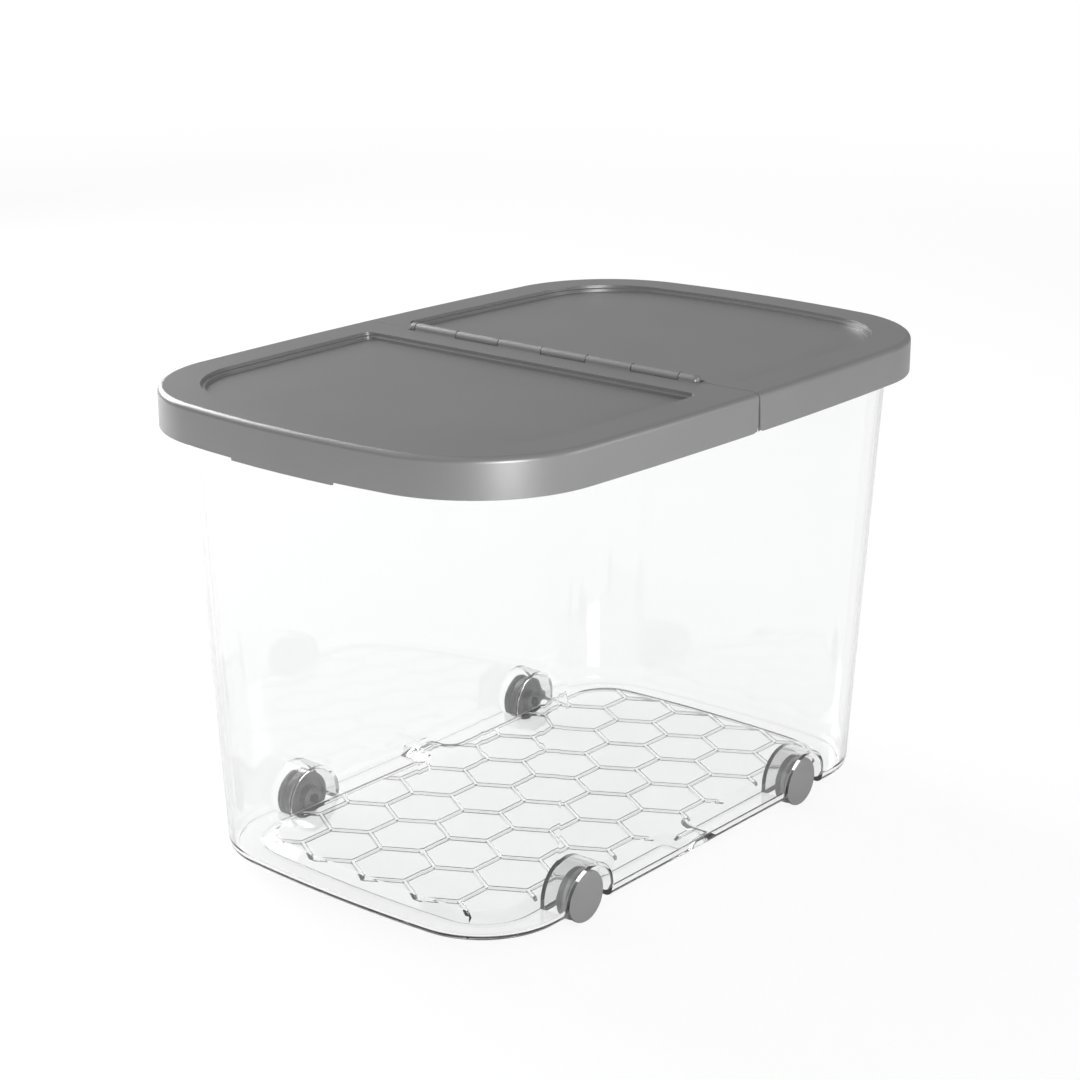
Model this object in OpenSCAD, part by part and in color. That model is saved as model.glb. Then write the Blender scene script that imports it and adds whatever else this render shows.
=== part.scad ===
// Clear rolling storage bin with a two-part flip lid.
// Millimetres, +Z up, floor at Z = 0, origin under the middle of the footprint.
// X runs along the length, Y across the width, the hinge lies over X = 0.

/* [Lid] */
// length of the lid over both halves
lid_length = 600; // [590:1:640]
// width of the lid
lid_width = 399; // [392:1:430]
// corner radius of the lid outline
lid_corner_r = 107.5; // [95:0.5:120]
// bow radius of the long sides
lid_side_bow_r = 3712; // [3000:10:6000]
// bow radius of the short ends
lid_end_bow_r = 833; // [700:1:1200]
// height of the skirt
skirt_h = 30; // [26:0.5:36]
// thickness of the skirt wall
skirt_t = 2.8; // [2:0.1:3.5]
// thickness of the rim plate and trays
plate_t = 3; // [2.2:0.1:3.4]
// rounding of the outer top edge
rim_round = 4.5; // [3:0.1:6]
// width of the flat rim
rim_w = 32; // [29:0.5:36]
// depth of one tray step
tray_step_h = 2.8; // [2:0.1:3.2]
// width of the ledge between the tray steps
tray_ledge_w = 3.5; // [2.5:0.1:6]
// strip between the hinge line and the front tray
front_strip_w = 31.5; // [26:0.5:40]
// strip between the hinge line and the rear tray
rear_strip_w = 13; // [12:0.5:24]
// corner radius of a tray beside the hinge
tray_corner_r = 9; // [7:0.5:12]
// gap between the halves at the rim top
seam_top = 0.5; // [0.3:0.05:1]
// gap between the halves at the skirt bottom
seam_bottom = 3.6; // [2:0.1:5]
// corner rounding at the bottom of the seam
seam_corner_r = 5; // [3:0.5:7]

/* [Hinge] */
// outer radius of the knuckles
knuckle_r = 5; // [4.2:0.1:5.6]
// height of the hinge axis above the rim top
hinge_rise = 0.2; // [0.1:0.05:0.6]
// far end of the long knuckles, in from the side of the lid
hinge_far_in = 58.5; // [52:0.5:66]
// near end of the long knuckles, in from the side of the lid
hinge_near_in = 72; // [64:0.5:80]
// gap between neighbouring knuckles
knuckle_gap = 0.6; // [0.4:0.05:1]
// length of the closing piece at the far end
end_piece_far = 5; // [4:0.5:8]
// length of the closing piece at the near end
end_piece_near = 17; // [12:0.5:22]
// radius of the hinge rod
rod_r = 1.6; // [1.3:0.05:2]
// radial clearance of running fits
run_clear = 0.06; // [0.03:0.01:0.09]

/* [Tub] */
// overhang of the lid beyond the tub wall at the short ends
end_overhang = 21.5; // [20:0.1:26]
// overhang of the lid beyond the tub wall at the long sides
side_overhang = 20.7; // [19.5:0.1:26]
// how much tighter the corners are at the bottom than on the lid
corner_step = 37.5; // [30:0.5:44]
// bow radius of the short ends of the tub
base_end_bow_r = 1190; // [900:10:2000]
// widening of the walls per millimetre of height
wall_draft = 0.057; // [0.045:0.001:0.062]
// thickness of the walls
wall_t = 2.8; // [2.2:0.1:3.4]
// thickness of the bottom
floor_t = 3; // [2.4:0.1:3.6]
// top of the lid above the floor
lid_top_z = 388; // [340:1:430]
// underside of the tub above the floor
ground_gap = 12; // [10:0.5:14]
// gap between the lid skirt and the flange lip
flange_gap = 2.2; // [1.6:0.1:3]
// height of the flange lip
flange_lip_h = 21; // [14:0.5:22]
// thickness of the flange and its lip
flange_t = 2.6; // [2:0.1:3]

/* [Tub floor] */
// distance from the wall line to the foot of the panel
panel_foot_in = 25.3; // [24:0.1:30]
// width of the sloped border of the panel
panel_slope_w = 10; // [7:0.5:12]
// rise of the panel above the channel
panel_rise = 5.5; // [4.5:0.1:7]
// width of the side tongues at their foot
tongue_w = 42; // [38:0.5:48]
// how far the hollow under the panel stays in from the foot of the border
hollow_in = 3.6; // [3:0.1:5]
// fillet where a tongue leaves the panel
tongue_fillet_r = 5; // [3:0.5:8]
// distance across the flats of the honeycomb
cell_flats = 54.8; // [50:0.1:60]
// width of the honeycomb ribs
rib_w = 3; // [2:0.1:3.6]
// height of the honeycomb ribs
rib_h = 2.5; // [1.5:0.1:4]

/* [Wheels] */
// radius of a wheel
wheel_r = 20.5; // [19:0.1:22]
// distance of the wheel axes from the short ends of the bottom
wheel_end_in = 114.7; // [104:0.1:122]
// distance of the wheel faces in from the long sides of the bottom
wheel_face_in = 4; // [2.5:0.1:6]
// thickness of the outer disc
wheel_outer_t = 3; // [2.5:0.1:4]
// width of the groove
wheel_groove_w = 4.5; // [3:0.1:5]
// depth of the groove
wheel_groove_d = 2.8; // [1.5:0.1:3.4]
// thickness of the inner disc
wheel_inner_t = 6; // [5:0.1:6.5]
// radius of the hub
hub_r = 10; // [8:0.1:11]
// length of the hub behind the inner disc
hub_l = 5.5; // [4.5:0.1:5.8]
// radius of an axle pin
pin_r = 4; // [3.4:0.1:4.6]
// gap between a wheel and its arch
arch_gap = 5; // [4:0.1:6]
// thickness of the arch walls
arch_t = 2.6; // [2.2:0.1:3.2]

/* [Hidden] */
fn_round = 96;
n_corner = 20;
n_end = 4;
n_side = 6;
fn_small = 64;
eps = 0.01;
over = 1;
lid_a = lid_length / 2;
lid_b = lid_width / 2;
// outline record: half length, half width, corner radius, side bow, end bow
lid_line = [lid_a, lid_b, lid_corner_r, lid_side_bow_r, lid_end_bow_r];
skirt_z = lid_top_z - skirt_h;
plate_z = lid_top_z - plate_t;
seat_gap = 0.2;
tub_top_z = plate_z - seat_gap;
spread = wall_draft * (tub_top_z - ground_gap);
// the same record for the walls at the bottom plane
tub_line = [lid_a - end_overhang - spread, lid_b - side_overhang - spread,
    lid_corner_r - corner_step, 0, base_end_bow_r];
tray1_z = lid_top_z - tray_step_h;
tray2_z = tray1_z - tray_step_h;
tray_wall = plate_t - 0.4;
hinge_z = lid_top_z + hinge_rise;
knuckle_n = 6;
knuckle_far = lid_b - hinge_far_in;
knuckle_end = hinge_near_in - lid_b;
knuckle_pitch = (knuckle_far - knuckle_end) / knuckle_n;
hinge_slot = 1.3;
rod_end = 6;
rod_far = 3;
rod_play = 0.3;
clear_x = knuckle_r + hinge_slot;
channel_z = ground_gap + floor_t;
panel_z = channel_z + panel_rise;
base_round = 7;
flange_in = skirt_t + flange_gap;
cell_step = cell_flats * sqrt(3) / 2;
panel_line = tub_line[1] - panel_foot_in;
tongue_out = 20;
recess_in = 4.5;
recess_r = tongue_w / 2 - panel_slope_w - 1;
rib_weld = 0.3;
n_fillet = 6;
arch_r = wheel_r + arch_gap;
wheel_x = tub_line[0] - wheel_end_in;
wheel_face_y = tub_line[1] - wheel_face_in;
wheel_in_y = wheel_face_y - wheel_outer_t - wheel_groove_w - wheel_inner_t;
hub_end_y = wheel_in_y - hub_l;
hub_gap = 0.5;
arch_y = hub_end_y - hub_gap;
bore_floor = 4.5;
pin_bead = 0.35;
catch_w = 100;
catch_drop = 3;
catch_gap = 0.4;
catch_weld = 0.2;

// centre of the arc in a corner that touches both bowed sides
function meet(p1, r1, p2, r2, s) =
    let (d = norm(p2 - p1))
    let (u = (p2 - p1) / d)
    let (along = (r1 * r1 - r2 * r2 + d * d) / (2 * d))
    let (up = sqrt(max(r1 * r1 - along * along, 0)))
    p1 + u * along + s * up * [-u[1], u[0]];
function two_bows(l) =
    let (p1 = [0, l[1] - l[3]])
    let (p2 = [l[0] - l[4], 0])
    let (c = meet(p1, l[3] - l[2], p2, l[4] - l[2], 1))
    c[0] > 0 && c[1] > 0 ? c : meet(p1, l[3] - l[2], p2, l[4] - l[2], -1);
function one_bow(l) =
    [l[0] - l[4] + sqrt(pow(l[4] - l[2], 2) - pow(l[1] - l[2], 2)), l[1] - l[2]];
function corner(l) = l[3] > 0 ? two_bows(l) : one_bow(l);
function aim(v) = v / norm(v);

function dir(t) = [cos(t), sin(t)];

// a quarter of an outline, from the X axis round to the Y axis
function quarter(l, o) =
    let (c = corner(l))
    let (p1 = [0, l[1] - l[3]])
    let (p2 = [l[0] - l[4], 0])
    let (t1 = l[3] > 0 ? atan2(c[1] - p1[1], c[0]) : 90)
    let (t2 = atan2(c[1], c[0] - p2[0]))
    concat(
        [for (i = [0:n_end - 1]) p2 + (l[4] + o) * dir(t2 * i / n_end)],
        [for (i = [0:n_corner - 1]) c + (l[2] + o) * dir(t2 + (t1 - t2) * i / n_corner)],
        l[3] > 0
            ? [for (i = [0:n_side]) p1 + (l[3] + o) * dir(t1 + (90 - t1) * i / n_side)]
            : [c + [0, l[2] + o]]
    );
// a quarter mirrored into a whole outline, counter-clockwise
function around(q, on_y) =
    let (m = len(q) - 1)
    let (k = on_y ? m - 1 : m)
    concat(
        q,
        [for (i = [k:-1:0]) [-q[i][0], q[i][1]]],
        [for (i = [1:m]) [-q[i][0], -q[i][1]]],
        [for (i = [k:-1:1]) [q[i][0], -q[i][1]]]
    );
function ring(l, o) = around(quarter(l, o), l[3] > 0);

// outline of the floor panel with a tongue to each side that ends at y with corner radius r
function panel_ring(o, y, r) =
    let (f = tongue_fillet_r)
    let (c = [tongue_w / 2 + f, panel_line + f])
    let (e = [tongue_w / 2 - r, y - r])
    around(concat(
        quarter(tub_line, o - panel_foot_in),
        [for (i = [0:n_fillet]) c + (f - o) * dir(270 - 90 * i / n_fillet)],
        [for (i = [0:n_fillet]) e + (r + o) * dir(90 * i / n_fillet)]
    ), false);

// flat outline at an offset from its line
module outline(l, o) {
    polygon(ring(l, o));
}

// solid through a list of rings at a list of heights, from the lowest to the highest;
// caps lists the faces that close an end, as point numbers of a ring
module loft(rings, heights, caps) {
    n = len(rings[0]);
    top = (len(rings) - 1) * n;
    points = [for (k = [0:len(rings) - 1]) for (p = rings[k]) [p[0], p[1], heights[k]]];
    sides = [for (k = [0:len(rings) - 2]) for (i = [0:n - 1])
        let (j = (i + 1) % n)
        [k * n + i, (k + 1) * n + i, (k + 1) * n + j, k * n + j]];
    lids = [for (c = caps) [for (i = [len(c) - 1:-1:0]) top + c[i]]];
    polyhedron(points, concat(caps, sides, lids));
}

// solid on one line through a list of [height, offset] pairs
module stack(l, levels) {
    rings = [for (v = levels) ring(l, v[1])];
    loft(rings, [for (v = levels) v[0]], [[for (i = [0:len(rings[0]) - 1]) i]]);
}

// solid through panel rings, closed by one face on the panel and strips on its tongues
module panel_loft(rings, heights) {
    n = len(rings[0]);
    foot = len(quarter(tub_line, 0));
    tip = (n - 2) / 4;
    half = n / 2;
    field = concat([for (i = [0:foot]) i], [for (i = [half - foot:half + foot]) i],
        [for (i = [n - foot:n - 1]) i]);
    far = [for (i = [foot:tip - 1]) [i, i + 1, half - i - 1, half - i]];
    near = [for (i = [foot:tip - 1]) [half + i, half + i + 1, n - i - 1, n - i]];
    loft(rings, heights, concat([field], far, near));
}

// straight prism on a flat outline
module plate(l, o, z0, z1) {
    translate([0, 0, z0])
        linear_extrude(z1 - z0)
            outline(l, o);
}

// cylinder lying along Y from y0 to y1
module rod_y(x, z, r, y0, y1, n) {
    translate([x, y1, z])
        rotate([90, 0, 0])
            cylinder(r = r, h = y1 - y0, $fn = n);
}

// prism along Y on a polygon drawn in X and Z
module prism_y(points, y0, y1) {
    translate([0, y1, 0])
        rotate([90, 0, 0])
            linear_extrude(y1 - y0)
                polygon(points);
}

// outline of the wall at a height
function wall_o(z) = (z - ground_gap) * wall_draft;

module tub_outer() {
    z3 = ground_gap + base_round;
    stack(tub_line, [[ground_gap, -5], [ground_gap + 1.2, -2.6], [ground_gap + 3.2, -0.8],
        [z3, wall_o(z3)], [tub_top_z, wall_o(tub_top_z)]]);
}

module tub_inner() {
    z2 = channel_z + base_round;
    z3 = tub_top_z + over;
    stack(tub_line, [[channel_z, -5 - wall_t], [channel_z + 1.2, -2.4 - wall_t],
        [z2, wall_o(z2) - wall_t], [z3, wall_o(z3) - wall_t]]);
}

// raised floor panel whose tongues run into the long walls
module panel_top() {
    y = tub_line[1] + tongue_out;
    panel_loft([panel_ring(0, y, 1), panel_ring(0, y, 1), panel_ring(-panel_slope_w, y, 1)],
        [channel_z - floor_t / 2, channel_z, panel_z]);
}

// hollow under the panel, closed before the long walls
module panel_hollow() {
    y = tub_line[1] - recess_in;
    panel_loft([panel_ring(-hollow_in, y, recess_r), panel_ring(-hollow_in, y, recess_r),
        panel_ring(-hollow_in - panel_slope_w, y + panel_slope_w, recess_r + panel_slope_w)],
        [ground_gap - over, channel_z - floor_t, panel_z - floor_t]);
}

// honeycomb ribs under the panel, run into its sloped border
module honeycomb() {
    nx = ceil(tub_line[0] / cell_step);
    ny = ceil(tub_line[1] / cell_flats);
    y = tub_line[1] - recess_in;
    slope_in = panel_slope_w * (1 - rib_h / panel_rise) - rib_weld;
    translate([0, 0, panel_z - floor_t - rib_h])
        linear_extrude(rib_h + rib_weld)
            difference() {
                polygon(panel_ring(-hollow_in - slope_in, y + slope_in + rib_weld,
                    recess_r + slope_in));
                for (i = [-nx:nx], j = [-ny:ny])
                    translate([i * cell_step, (j + (i % 2 == 0 ? 0 : 0.5)) * cell_flats])
                        circle(r = (cell_flats - rib_w) / sqrt(3), $fn = 6);
            }
}

module arch_solid(x, s) {
    r = arch_r + arch_t;
    y0 = s > 0 ? arch_y - arch_t : -tub_line[1] - 6;
    y1 = s > 0 ? tub_line[1] + 6 : arch_t - arch_y;
    rod_y(x, wheel_r, r, y0, y1, fn_round);
    translate([x - r, y0, ground_gap])
        cube([2 * r, y1 - y0, wheel_r - ground_gap]);
}

module arch_pocket(x, s) {
    y0 = s > 0 ? arch_y : -tub_line[1] - 20;
    y1 = s > 0 ? tub_line[1] + 20 : -arch_y;
    rod_y(x, wheel_r, arch_r, y0, y1, fn_round);
    translate([x - arch_r, y0, 0])
        cube([2 * arch_r, y1 - y0, wheel_r]);
}

module tub() {
    color([0.9, 0.92, 0.93, 0.35]) {
        difference() {
            union() {
                difference() {
                    union() {
                        tub_outer();
                        plate(lid_line, -flange_in, tub_top_z - flange_t, tub_top_z);
                        difference() {
                            plate(lid_line, -flange_in, tub_top_z - flange_lip_h, tub_top_z - over);
                            plate(lid_line, -flange_in - flange_t,
                                tub_top_z - flange_lip_h - over, tub_top_z - flange_t + eps);
                        }
                    }
                    tub_inner();
                }
                intersection() {
                    tub_outer();
                    union()
                        for (sx = [-1, 1], sy = [-1, 1])
                            arch_solid(sx * wheel_x, sy);
                }
                intersection() {
                    tub_outer();
                    panel_top();
                }
            }
            panel_hollow();
            for (sx = [-1, 1], sy = [-1, 1]) {
                arch_pocket(sx * wheel_x, sy);
                rod_y(sx * wheel_x, wheel_r, pin_r, min(sy * (arch_y - arch_t - over), sy * (arch_y + over)),
                    max(sy * (arch_y - arch_t - over), sy * (arch_y + over)), fn_small);
            }
        }
        honeycomb();
    }
}

// flat shape of one tray: s is -1 in front of the hinge and 1 behind it
module tray_flat(s, o) {
    edge = (s < 0 ? front_strip_w : rear_strip_w) - o;
    rc = tray_corner_r + o;
    side = lid_b - rim_w + o - 0.2;
    intersection() {
        outline(lid_line, o - rim_w);
        union() {
            translate([s < 0 ? -lid_a : edge + rc, -lid_b])
                square([lid_a - edge - rc, lid_width]);
            translate([s < 0 ? -edge - rc - eps : edge, rc - side])
                square([rc + eps, 2 * (side - rc)]);
            for (sy = [-1, 1])
                translate([s * (edge + rc), sy * (side - rc)])
                    circle(r = rc, $fn = fn_small);
        }
    }
}

module tray_prism(s, o, z0, z1) {
    translate([0, 0, z0])
        linear_extrude(z1 - z0)
            tray_flat(s, o);
}

module lid_shell() {
    r = rim_round;
    stack(lid_line, [[skirt_z, 0], [lid_top_z - r, 0], [lid_top_z - r * 0.62, -r * 0.076],
        [lid_top_z - r * 0.293, -r * 0.293], [lid_top_z - r * 0.076, -r * 0.62],
        [lid_top_z, -r]]);
}

// everything beyond the seam, seen from the half on side s
module beyond_seam(s) {
    t = seam_top / 2;
    b = seam_bottom / 2;
    y = lid_b + over;
    prism_y([[s * t, lid_top_z + 20], [s * t, lid_top_z], [s * b, skirt_z],
        [s * b, skirt_z - 10], [-s * (lid_a + 10), skirt_z - 10],
        [-s * (lid_a + 10), lid_top_z + 20]], -y, y);
    difference() {
        translate([s < 0 ? -b - seam_corner_r : b - eps, -y, skirt_z - over])
            cube([seam_corner_r + eps, 2 * y, seam_corner_r + over]);
        rod_y(s * (b + seam_corner_r), skirt_z + seam_corner_r, seam_corner_r,
            -y - over, y + over, fn_small);
    }
}

// knuckle from y0 to y1 with the web that joins it to its half
module knuckle(s, y0, y1) {
    rod_y(0, hinge_z, knuckle_r, y0, y1, fn_small);
    translate([s < 0 ? -clear_x - over : 0, y0, plate_z])
        cube([clear_x + over, y1 - y0, plate_t]);
}

// closing knuckle at the near end, with its outer end rounded over
module knuckle_rounded(s, y0, y1) {
    r = knuckle_r;
    translate([0, y1, hinge_z])
        rotate([90, 0, 0])
            rotate_extrude($fn = fn_small)
                polygon([[0, 0], [r, 0], [r, y1 - y0 - r * 0.8],
                    [r * 0.92, y1 - y0 - r * 0.42], [r * 0.71, y1 - y0 - r * 0.16],
                    [r * 0.38, y1 - y0 - r * 0.03], [0, y1 - y0]]);
    translate([s < 0 ? -clear_x - over : 0, y0 + r * 0.8, plate_z])
        cube([clear_x + over, y1 - y0 - r * 0.8, plate_t]);
}

// knuckles of one half; the closing piece is at the near end in front and at the far end behind
module knuckles(s) {
    first = s < 0 ? 0 : 1;
    g = knuckle_gap / 2;
    for (k = [first:2:knuckle_n - 1])
        knuckle(s, knuckle_far - (k + 1) * knuckle_pitch + g, knuckle_far - k * knuckle_pitch - g);
    if (s < 0)
        knuckle_rounded(s, knuckle_end - end_piece_near, knuckle_end - g);
    else
        knuckle(s, knuckle_far + g, knuckle_far + end_piece_far);
}

module lid_half(s) {
    difference() {
        union() {
            difference() {
                lid_shell();
                plate(lid_line, -skirt_t, skirt_z - over, plate_z);
                beyond_seam(s);
                knuckles_clear(s);
            }
            tray_prism(s, tray_wall, tray2_z + eps, plate_z + eps);
            tray_prism(s, tray_wall - tray_ledge_w, tray2_z - tray_wall, tray2_z + 2 * eps);
            knuckles(s);
            catch_lip(s);
        }
        tray_prism(s, 0, tray1_z, lid_top_z + over);
        tray_prism(s, -tray_ledge_w, tray2_z, tray1_z + eps);
        rod_y(0, hinge_z, rod_r + run_clear, knuckle_end - end_piece_near + rod_end,
            knuckle_far + rod_far, fn_small);
    }
}

// room for the knuckles of the other half
module knuckles_clear(s) {
    o = -s;
    first = o < 0 ? 0 : 1;
    g = knuckle_gap / 2;
    z0 = plate_z - over;
    for (k = [first:2:knuckle_n - 1])
        translate([s < 0 ? -clear_x : -over, knuckle_far - (k + 1) * knuckle_pitch - g, z0])
            cube([clear_x + over, knuckle_pitch + 2 * g, 20]);
    y0 = o < 0 ? knuckle_end - end_piece_near - 1 : knuckle_far - g;
    y1 = o < 0 ? knuckle_end + g : knuckle_far + end_piece_far + 1;
    translate([s < 0 ? -clear_x : -over, y0, z0])
        cube([clear_x + over, y1 - y0, 20]);
}

// spring catch inside the skirt at the short end
module catch_lip(s) {
    intersection() {
        difference() {
            plate(lid_line, -skirt_t + catch_weld, skirt_z - catch_drop, skirt_z + 6);
            plate(lid_line, -flange_in + catch_gap, skirt_z - catch_drop - over, skirt_z + 6 + over);
        }
        translate([s < 0 ? -lid_a - over : lid_a - 40, -catch_w / 2, skirt_z - catch_drop - over])
            cube([40 + over, catch_w, 20]);
    }
}

module lid_front() {
    color([0.5, 0.51, 0.52])
        lid_half(-1);
}

module lid_rear() {
    color([0.5, 0.51, 0.52])
        lid_half(1);
}

module hinge_rod() {
    color([0.75, 0.76, 0.78])
        rod_y(0, hinge_z, rod_r, knuckle_end - end_piece_near + rod_end + rod_play,
            knuckle_far + rod_far - rod_play, fn_small);
}

// wheel profile: radius against distance from the outer face
module wheel() {
    e = 0.6;
    r = wheel_r;
    y1 = wheel_outer_t;
    y2 = y1 + wheel_groove_w;
    y3 = y2 + wheel_inner_t;
    y4 = y3 + hub_l;
    gr = r - wheel_groove_d;
    m = (y1 + y2) / 2;
    b = pin_r + run_clear;
    bead = b + pin_bead;
    yb = y4 - 4;
    rotate_extrude($fn = fn_round)
        polygon([[0, 0], [r - e, 0], [r, e], [r, y1 - 0.3], [r - 0.3, y1], [gr, m - 0.6],
            [gr, m + 0.6], [r - 0.4, y2], [r, y2 + 0.4], [r, y3 - e], [r - e, y3],
            [hub_r + 6.5, y3], [hub_r + 5.5, y3 - 1.4], [hub_r, y3 - 1.4],
            [hub_r, y4 - 0.5], [hub_r - 0.5, y4], [b, y4],
            [b, yb], [bead, yb - 0.4], [bead, yb - 1.4], [b, yb - 1.8],
            [b, bore_floor], [0, bore_floor]]);
}

module wheel_at(sx, sy) {
    translate([sx * wheel_x, sy * wheel_face_y, wheel_r])
        rotate([sy > 0 ? 90 : -90, 0, 0])
            wheel();
}

// pin pressed through the arch wall, with a snap bead inside the hub
module pin_at(sx, sy) {
    y4 = wheel_face_y - hub_end_y;
    yb = y4 - 4;
    n = arch_t + hub_gap + 0.6;
    p = pin_r;
    tip = bore_floor + 0.4;
    translate([sx * wheel_x, sy * wheel_face_y, wheel_r])
        rotate([sy > 0 ? 90 : -90, 0, 0])
            rotate_extrude($fn = fn_small)
                polygon([[0, tip], [p - 0.8, tip], [p, tip + 0.8], [p, yb - 1.6],
                    [p + pin_bead, yb - 1.2], [p + pin_bead, yb - 0.6], [p, yb - 0.2],
                    [p, y4 + n - 0.4], [p - 0.4, y4 + n], [0, y4 + n]]);
}

module wheel_front_near() {
    color([0.5, 0.51, 0.52])
        wheel_at(-1, -1);
}

module wheel_front_far() {
    color([0.5, 0.51, 0.52])
        wheel_at(-1, 1);
}

module wheel_rear_near() {
    color([0.5, 0.51, 0.52])
        wheel_at(1, -1);
}

module wheel_rear_far() {
    color([0.5, 0.51, 0.52])
        wheel_at(1, 1);
}

module pin_front_near() {
    color([0.3, 0.31, 0.32])
        pin_at(-1, -1);
}

module pin_front_far() {
    color([0.3, 0.31, 0.32])
        pin_at(-1, 1);
}

module pin_rear_near() {
    color([0.3, 0.31, 0.32])
        pin_at(1, -1);
}

module pin_rear_far() {
    color([0.3, 0.31, 0.32])
        pin_at(1, 1);
}

tub();
lid_front();
lid_rear();
hinge_rod();
wheel_front_near();
wheel_front_far();
wheel_rear_near();
wheel_rear_far();
pin_front_near();
pin_front_far();
pin_rear_near();
pin_rear_far();
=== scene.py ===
"""Looks for a clear rolling bin with a two-part flip lid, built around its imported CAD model.

Units are metres in the CAD frame: +X runs along the length to the rear short end, +Y across
to the far side, +Z up, and the floor is at Z = 0.
"""

import math

import bpy
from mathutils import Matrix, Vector

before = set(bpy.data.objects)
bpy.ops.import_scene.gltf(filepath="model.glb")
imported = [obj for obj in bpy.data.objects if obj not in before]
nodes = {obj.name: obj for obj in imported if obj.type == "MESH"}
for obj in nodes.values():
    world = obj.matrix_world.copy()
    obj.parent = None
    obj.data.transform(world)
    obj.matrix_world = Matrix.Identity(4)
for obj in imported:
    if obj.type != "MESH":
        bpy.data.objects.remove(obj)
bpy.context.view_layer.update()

MM = 0.001

# Camera, at the photograph's place and angle
CAMERA_PLACE = (-1.4191, -1.1764, 0.8108)
CAMERA_YAW_DEG = -50.076
CAMERA_PITCH_DEG = 17.347
LENS_MM = 80.11
SENSOR_MM = 36.0

# Square lamps: azimuth and height in degrees, distance and side in metres, power in watts
LAMPS = {
    "near": (-119, 6, 2.6, 0.85, 38),
    "left": (135, 55, 2.0, 2.4, 6),
    "back": (84, 25, 2.6, 1.5, 62),
    "right": (-60, 10, 2.6, 1.0, 8),
}
LAMP_TARGET = (0, 0, 0.3)

# Strength of the sky that lights the object, at the horizon and overhead
SKY_LOW = 0.33
SKY_HIGH = 0.45

# Floor: the grey that lights the object, and the grey and glow that the camera sees
FLOOR_SIDE = 40
FLOOR_GREY = 0.95
FLOOR_SEEN_GREY = 0.16
FLOOR_GLOW = 0.865
FAR_GLOW = 0.94
FAR_STARTS = 2.0
FAR_ENDS = 5.0
FLOOR_CLOUD_SCALE = 2.0
FLOOR_CLOUDS = (0.998, 1.0)

# The part of a noise's range where most of its values lie
NOISE_LOW = 0.3
NOISE_HIGH = 0.7

# Moulded plastics: linear colour, roughness, share of metal flake, size and depth of the grain,
# and how dark the painted shade on the tread of a wheel is beside its faces
LID = {"colour": (0.264, 0.264, 0.264), "rough": 0.36, "flake": 0.45,
       "grain_mm": 0.5, "grain_depth_mm": 0.028}
WHEEL = {"colour": (0.262, 0.262, 0.262), "rough": 0.40, "flake": 0.2,
         "grain_mm": 0.45, "grain_depth_mm": 0.015, "tread": 0.5}
PIN = {"colour": (0.10, 0.102, 0.105), "rough": 0.38, "flake": 0.0,
       "grain_mm": 0.45, "grain_depth_mm": 0.01}
PLASTIC_IOR = 1.49
CLOUD_SCALE = 9.0
CLOUD_CONTRAST = 0.03
ROUGH_SPREAD = 0.04
# Where the painted shade on a wheel's tread fades in, by how far its normal turns from Y
TREAD_BELOW = 0.3
FACE_ABOVE = 0.9

# Drawn steel: its streaks run along Y
STEEL = (0.62, 0.63, 0.64)
STEEL_DULL = 0.92
STEEL_ROUGH = (0.22, 0.36)
STREAKS_PER_M = (900, 12, 900)

# Clear plastic, and how many bounces a ray may make before it is let out of the walls
CLEAR = (0.972, 0.974, 0.976)
CLEAR_IOR = 1.45
CLEAR_ROUGH = (0.0, 0.02)
CLEAR_WAVE_SCALE = 160.0
CLEAR_SHADOW = (0.55, 0.55, 0.55)
TRAPPED_AFTER = {"Ray Depth": 7.5, "Glossy Depth": 2.5}

# Small roundings on the sharp edges of each kind of node
ROUNDING_MM = {"tub": 0.5, "lid": 0.5, "hinge": 0.2, "wheel": 0.4, "pin": 0.3}
ROUNDING_STEPS = 2
SHARP_EDGE_DEG = 24.0
SMOOTH_BELOW_DEG = 40.0
FLAT_WITHIN_DEG = 0.4
WELD_MM = 0.002


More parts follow.
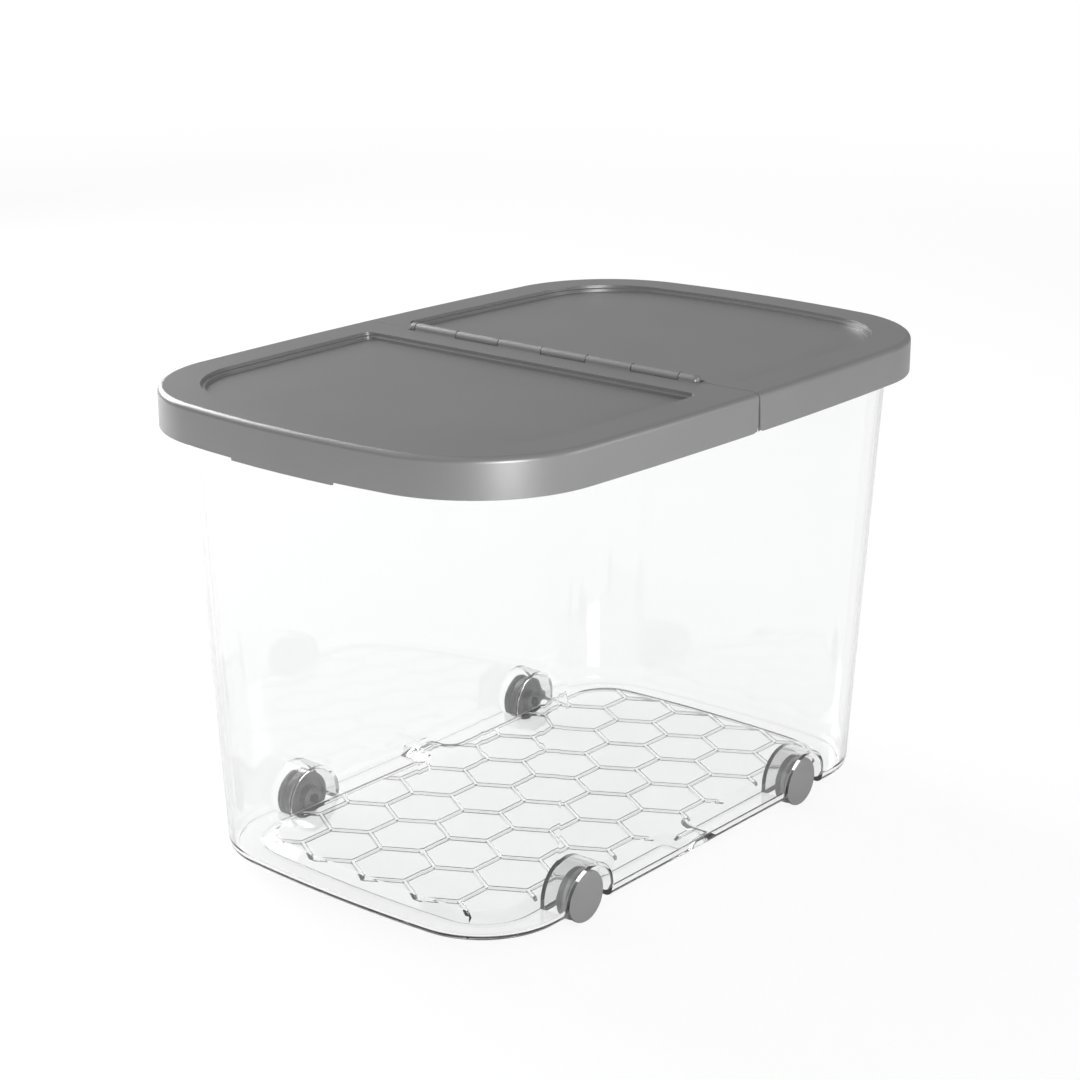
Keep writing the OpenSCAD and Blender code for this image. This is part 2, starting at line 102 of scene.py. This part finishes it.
class Tree:
    """Short calls for adding and joining the nodes of one tree."""

    def __init__(self, tree):
        self.tree = tree
        self.nodes = tree.nodes

    def add(self, kind, **props):
        node = self.nodes.new(kind)
        for key, value in props.items():
            setattr(node, key, value)
        return node

    def join(self, out, into):
        self.tree.links.new(out, into)

    def feed(self, value, into):
        """Give an input a number, or join it to a socket."""
        if isinstance(value, bpy.types.NodeSocket):
            self.join(value, into)
        else:
            into.default_value = value

    def object_place(self):
        return self.add("ShaderNodeTexCoord").outputs["Object"]

    def math(self, operation, a, b=0.0):
        node = self.add("ShaderNodeMath", operation=operation)
        self.feed(a, node.inputs[0])
        self.feed(b, node.inputs[1])
        return node.outputs[0]

    def map_range(self, value, low, high, start=0.0, end=1.0, shape="LINEAR"):
        """Map start..end to low..high, held at both ends."""
        node = self.add("ShaderNodeMapRange", interpolation_type=shape)
        node.inputs["From Min"].default_value = start
        node.inputs["From Max"].default_value = end
        node.inputs["To Min"].default_value = low
        node.inputs["To Max"].default_value = high
        self.join(value, node.inputs["Value"])
        return node.outputs["Result"]

    def noise(self, coords, scale):
        node = self.add("ShaderNodeTexNoise")
        node.inputs["Scale"].default_value = scale
        node.inputs["Detail"].default_value = 2.0
        node.inputs["Roughness"].default_value = 0.55
        self.join(coords, node.inputs["Vector"])
        return node.outputs["Fac"]

    def spread(self, noise, low, high):
        """Map the usual range of a noise to low..high."""
        return self.map_range(noise, low, high, NOISE_LOW, NOISE_HIGH)

    def mix_colour(self, share, a, b):
        """Colour from a to b; each is a linear colour or a socket."""
        node = self.add("ShaderNodeMix", data_type="RGBA")
        self.join(share, node.inputs[0])
        for colour, into in ((a, node.inputs[6]), (b, node.inputs[7])):
            self.feed((*colour, 1) if isinstance(colour, tuple) else colour, into)
        return node.outputs[2]

    def bump(self, height, distance):
        node = self.add("ShaderNodeBump")
        node.inputs["Distance"].default_value = distance
        self.join(height, node.inputs["Height"])
        return node.outputs["Normal"]


def new_material(name):
    """A material with only its output node, with its tree and that node."""
    mat = bpy.data.materials.new(name)
    mat.use_nodes = True
    mat.node_tree.nodes.clear()
    return mat, Tree(mat.node_tree), mat.node_tree.nodes.new("ShaderNodeOutputMaterial")


def shade(colour, factor):
    return tuple(c * factor for c in colour)


def painted_tread_shade(t, colour, shaded_colour):
    """The colour on faces across Y, and a darker copy on the tread, which turns about Y: painted shade.
    """
    normal = t.add("ShaderNodeSeparateXYZ")
    t.join(t.add("ShaderNodeTexCoord").outputs["Normal"], normal.inputs["Vector"])
    across = t.math("ABSOLUTE", normal.outputs["Y"])
    return t.mix_colour(t.map_range(across, 0.0, 1.0, TREAD_BELOW, FACE_ABOVE), shaded_colour, colour)


def moulded_plastic(name, colour, rough, flake, grain_mm, grain_depth_mm, tread=None):
    """Satin moulded plastic: fine spark-eroded grain, faint flow clouds and uneven sheen."""
    mat, t, out = new_material(name)
    place = t.object_place()
    clouds = t.spread(t.noise(place, CLOUD_SCALE), 0.0, 1.0)
    grain = t.noise(place, 1.0 / (grain_mm * MM))
    look = t.mix_colour(clouds, shade(colour, 1 - CLOUD_CONTRAST), shade(colour, 1 + CLOUD_CONTRAST))
    # A wheel's tread gets painted shade: a darker copy of its colour
    if tread is not None:
        look = painted_tread_shade(t, look, shade(colour, tread))
    shader = t.add("ShaderNodeBsdfPrincipled")
    shader.inputs["IOR"].default_value = PLASTIC_IOR
    shader.inputs["Metallic"].default_value = flake
    t.join(look, shader.inputs["Base Color"])
    t.join(t.spread(grain, rough - ROUGH_SPREAD, rough + ROUGH_SPREAD), shader.inputs["Roughness"])
    t.join(t.bump(grain, grain_depth_mm * MM), shader.inputs["Normal"])
    t.join(shader.outputs["BSDF"], out.inputs["Surface"])
    return mat


def steel(name):
    """Drawn steel wire with fine streaks along Y."""
    mat, t, out = new_material(name)
    stretch = t.add("ShaderNodeMapping")
    stretch.inputs["Scale"].default_value = STREAKS_PER_M
    t.join(t.object_place(), stretch.inputs["Vector"])
    streaks = t.noise(stretch.outputs["Vector"], 1.0)
    shader = t.add("ShaderNodeBsdfPrincipled")
    shader.inputs["Metallic"].default_value = 1.0
    t.join(t.mix_colour(t.spread(streaks, 0.0, 1.0), shade(STEEL, STEEL_DULL), STEEL),
           shader.inputs["Base Color"])
    t.join(t.spread(streaks, *STEEL_ROUGH), shader.inputs["Roughness"])
    t.join(shader.outputs["BSDF"], out.inputs["Surface"])
    return mat


def clear_plastic(name):
    """Clear moulded plastic that bends light and has faint flow waves.

    It lets lamps through, and rays that stay trapped in its walls, which would end black.
    """
    mat, t, out = new_material(name)
    shader = t.add("ShaderNodeBsdfPrincipled")
    shader.inputs["Base Color"].default_value = (*CLEAR, 1)
    shader.inputs["Transmission Weight"].default_value = 1.0
    shader.inputs["IOR"].default_value = CLEAR_IOR
    waves = t.noise(t.object_place(), CLEAR_WAVE_SCALE)
    t.join(t.spread(waves, *CLEAR_ROUGH), shader.inputs["Roughness"])
    through = t.add("ShaderNodeBsdfTransparent")
    through.inputs["Color"].default_value = (*CLEAR_SHADOW, 1)
    path = t.add("ShaderNodeLightPath")
    let_out = path.outputs["Is Shadow Ray"]
    for count, most in TRAPPED_AFTER.items():
        let_out = t.math("MAXIMUM", let_out, t.math("GREATER_THAN", path.outputs[count], most))
    mix = t.add("ShaderNodeMixShader")
    t.join(let_out, mix.inputs[0])
    t.join(shader.outputs["BSDF"], mix.inputs[1])
    t.join(through.outputs["BSDF"], mix.inputs[2])
    t.join(mix.outputs["Shader"], out.inputs["Surface"])
    return mat


def seen_directly(t):
    """1 for camera rays, also through clear walls, that no matt surface has scattered; else 0."""
    path = t.add("ShaderNodeLightPath")
    seen = t.math("MAXIMUM", path.outputs["Is Camera Ray"], path.outputs["Is Transmission Ray"])
    return t.math("MULTIPLY", seen, t.math("LESS_THAN", path.outputs["Diffuse Depth"], 0.5))


def studio_floor(name):
    """Matt floor that looks white and shows a soft shadow, and lights the object as pale grey."""
    mat, t, out = new_material(name)
    place = t.object_place()
    seen = seen_directly(t)
    grey = t.math("MULTIPLY", t.map_range(seen, FLOOR_GREY, FLOOR_SEEN_GREY),
                  t.spread(t.noise(place, FLOOR_CLOUD_SCALE), *FLOOR_CLOUDS))
    reach = t.add("ShaderNodeVectorMath", operation="LENGTH")
    t.join(place, reach.inputs[0])
    glow = t.map_range(reach.outputs["Value"], FLOOR_GLOW, FAR_GLOW, FAR_STARTS, FAR_ENDS, "SMOOTHSTEP")
    shader = t.add("ShaderNodeBsdfPrincipled")
    shader.inputs["Roughness"].default_value = 0.9
    shader.inputs["Specular IOR Level"].default_value = 0.0
    shader.inputs["Emission Color"].default_value = (1, 1, 1, 1)
    t.join(grey, shader.inputs["Base Color"])
    t.join(t.math("MULTIPLY", seen, glow), shader.inputs["Emission Strength"])
    t.join(shader.outputs["BSDF"], out.inputs["Surface"])
    return mat


def smooth_group(angle_deg):
    """Modifier that shades a CAD mesh smooth except at edges over the angle."""
    group = bpy.data.node_groups.new("smooth_by_angle", "GeometryNodeTree")
    group.interface.new_socket("Geometry", in_out="INPUT", socket_type="NodeSocketGeometry")
    group.interface.new_socket("Geometry", in_out="OUTPUT", socket_type="NodeSocketGeometry")
    t = Tree(group)
    start = t.add("NodeGroupInput")
    clean = t.add("GeometryNodeRemoveAttribute")
    clean.inputs["Name"].default_value = "custom_normal"
    weld = t.add("GeometryNodeMergeByDistance")
    weld.inputs["Distance"].default_value = WELD_MM * MM
    faces = t.add("GeometryNodeSetShadeSmooth")
    edges = t.add("GeometryNodeSetShadeSmooth", domain="EDGE")
    angle = t.add("GeometryNodeInputMeshEdgeAngle")
    small = t.add("FunctionNodeCompare", data_type="FLOAT", operation="LESS_THAN")
    small.inputs[1].default_value = math.radians(angle_deg)
    end = t.add("NodeGroupOutput")
    t.join(start.outputs[0], clean.inputs["Geometry"])
    t.join(clean.outputs["Geometry"], weld.inputs["Geometry"])
    t.join(weld.outputs["Geometry"], faces.inputs["Geometry"])
    t.join(faces.outputs["Geometry"], edges.inputs["Geometry"])
    t.join(angle.outputs["Unsigned Angle"], small.inputs[0])
    t.join(small.outputs["Result"], edges.inputs["Shade Smooth"])
    t.join(edges.outputs["Geometry"], end.inputs[0])
    return group


def dress(node, material, smoothing, rounding_mm):
    """Give a CAD node its material, small roundings on its sharp edges and smooth shading."""
    obj = nodes[node]
    obj.data.materials.clear()
    obj.data.materials.append(material)
    weld = obj.modifiers.new("weld", "WELD")
    weld.merge_threshold = WELD_MM * MM
    flat = obj.modifiers.new("flat", "DECIMATE")
    flat.decimate_type = "DISSOLVE"
    flat.angle_limit = math.radians(FLAT_WITHIN_DEG)
    edges = obj.modifiers.new("edges", "BEVEL")
    edges.width = rounding_mm * MM
    edges.segments = ROUNDING_STEPS
    edges.limit_method = "ANGLE"
    edges.angle_limit = math.radians(SHARP_EDGE_DEG)
    edges.use_clamp_overlap = False
    obj.modifiers.new("smooth", "NODES").node_group = smoothing
    lean = obj.modifiers.new("lean", "WEIGHTED_NORMAL")
    lean.keep_sharp = True


def dress_bin():
    """Dress every CAD node by the first word of its name."""
    materials = {
        "tub": clear_plastic("tub_clear"),
        "lid": moulded_plastic("lid_satin", **LID),
        "hinge": steel("rod_steel"),
        "wheel": moulded_plastic("wheel_satin", **WHEEL),
        "pin": moulded_plastic("pin_satin", **PIN),
    }
    smoothing = smooth_group(SMOOTH_BELOW_DEG)
    for node in nodes:
        kind = node.split("_")[0]
        dress(node, materials[kind], smoothing, ROUNDING_MM[kind])


def add_floor():
    bpy.ops.mesh.primitive_plane_add(size=FLOOR_SIDE, location=(0, 0, 0))
    floor = bpy.context.object
    floor.name = "floor"
    floor.data.materials.append(studio_floor("floor_white"))


def add_world():
    """White for the camera and through clear walls; on surfaces a sky, dimmer at the horizon."""
    world = bpy.data.worlds.new("studio")
    bpy.context.scene.world = world
    world.use_nodes = True
    world.node_tree.nodes.clear()
    t = Tree(world.node_tree)
    direction = t.add("ShaderNodeSeparateXYZ")
    t.join(t.add("ShaderNodeTexCoord").outputs["Generated"], direction.inputs["Vector"])
    level = t.add("ShaderNodeMix", data_type="FLOAT")
    t.join(seen_directly(t), level.inputs[0])
    t.join(t.map_range(direction.outputs["Z"], SKY_LOW, SKY_HIGH), level.inputs[2])
    level.inputs[3].default_value = 1.0
    light = t.add("ShaderNodeBackground")
    light.inputs["Color"].default_value = (1, 1, 1, 1)
    t.join(level.outputs[0], light.inputs["Strength"])
    out = t.add("ShaderNodeOutputWorld")
    t.join(light.outputs["Background"], out.inputs["Surface"])


def add_lamp(name, azimuth_deg, height_deg, distance, side, power):
    """Square soft lamp that faces the object from the given direction."""
    light = bpy.data.lights.new(name, "AREA")
    light.energy = power
    light.size = side
    lamp = bpy.data.objects.new(name, light)
    bpy.context.scene.collection.objects.link(lamp)
    turn = math.radians(azimuth_deg)
    rise = math.radians(height_deg)
    away = Vector((math.cos(rise) * math.cos(turn), math.cos(rise) * math.sin(turn), math.sin(rise)))
    lamp.location = Vector(LAMP_TARGET) + distance * away
    lamp.rotation_euler = away.to_track_quat("Z", "Y").to_euler()


def add_camera():
    data = bpy.data.cameras.new("camera")
    data.lens = LENS_MM
    data.sensor_width = SENSOR_MM
    camera = bpy.data.objects.new("camera", data)
    bpy.context.scene.collection.objects.link(camera)
    camera.location = CAMERA_PLACE
    camera.rotation_euler = (math.radians(90 - CAMERA_PITCH_DEG), 0, math.radians(CAMERA_YAW_DEG))
    bpy.context.scene.camera = camera


bpy.context.scene.view_settings.view_transform = "Standard"
dress_bin()
add_floor()
add_world()
for lamp_name, setting in LAMPS.items():
    add_lamp(lamp_name, *setting)
add_camera()
